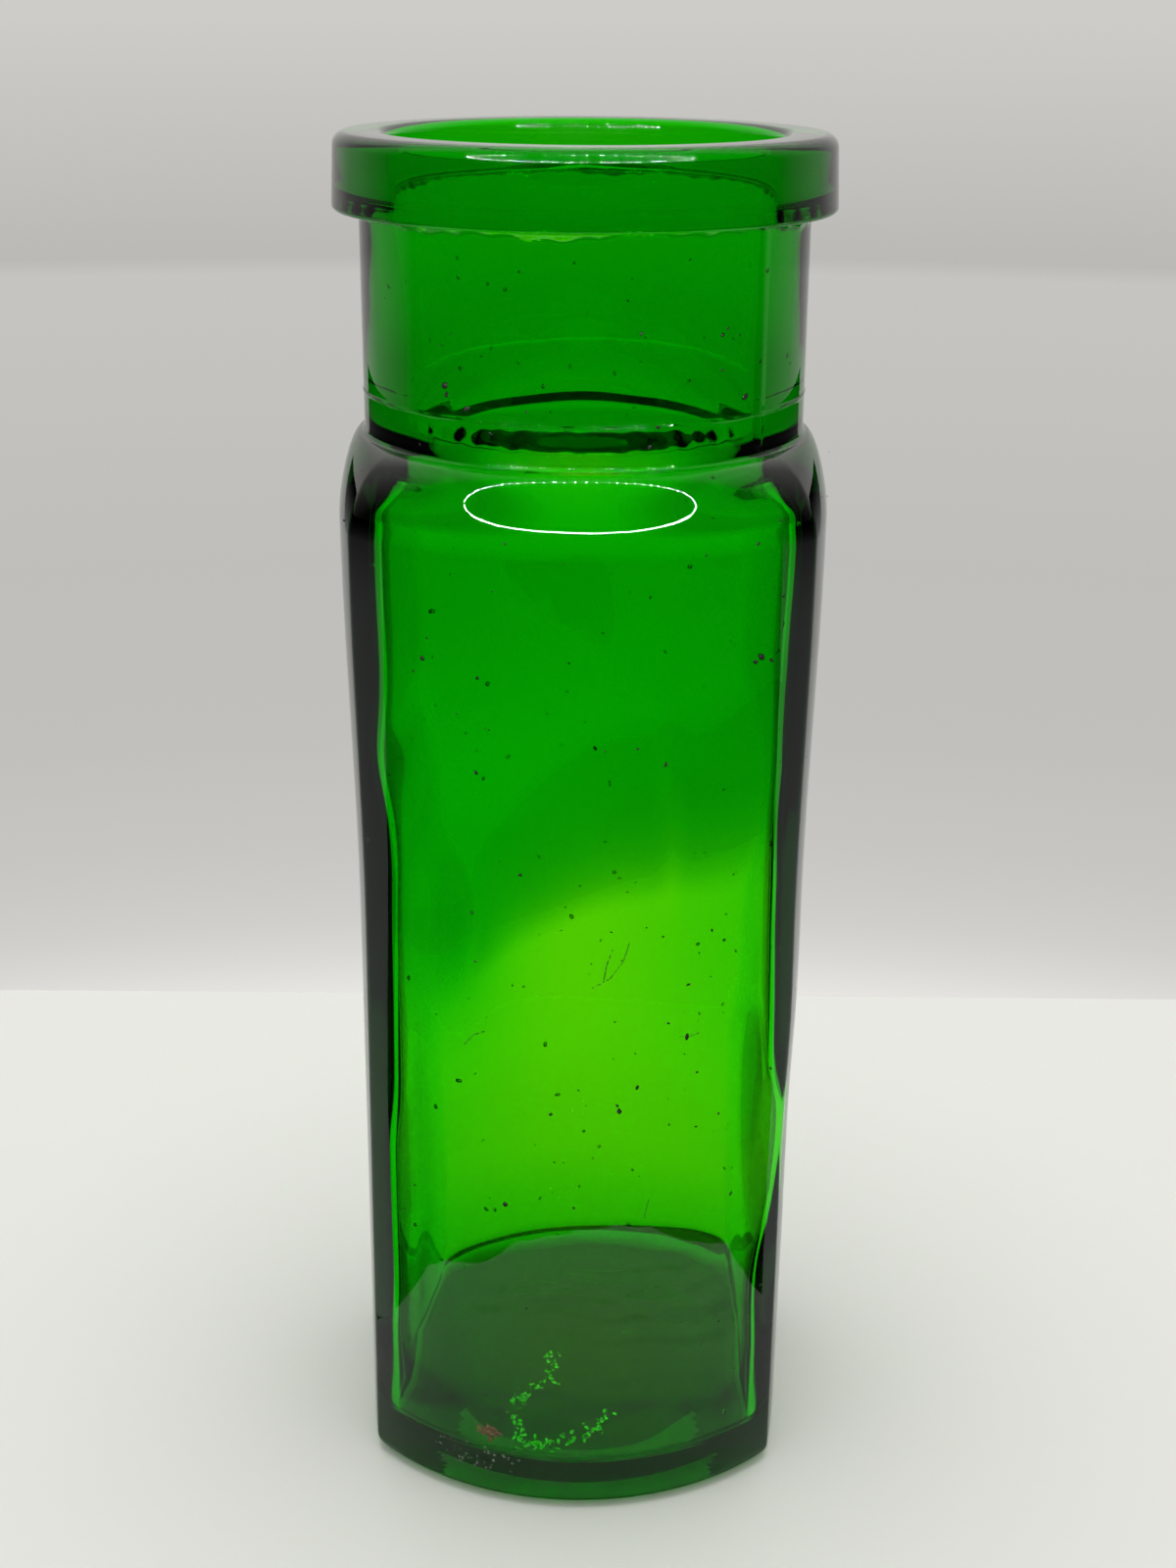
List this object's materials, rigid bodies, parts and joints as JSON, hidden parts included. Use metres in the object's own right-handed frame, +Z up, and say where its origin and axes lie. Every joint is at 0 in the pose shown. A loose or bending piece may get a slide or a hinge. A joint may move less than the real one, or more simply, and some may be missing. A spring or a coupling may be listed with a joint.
{
  "type": "square glass jar",
  "caption": "Open square jar of mould-blown green glass, with bowed front and back, a round neck and a heavy applied lip.",
  "frame": {"origin": "middle of the footprint, on the surface that the jar stands on", "axes": "+Z up along the neck's axis, -Y out of the front panel, +X to the right of the front"},
  "size_m": [0.0618, 0.0648, 0.178],
  "materials": {
    "body_glass": "clear deep green blown glass",
    "lip_glass": "clear deep green glass, tooled"
  },
  "bodies": {
    "root": {"jar_body": "body_glass", "lip_collar": "lip_glass"}
  },
  "joints": []
}
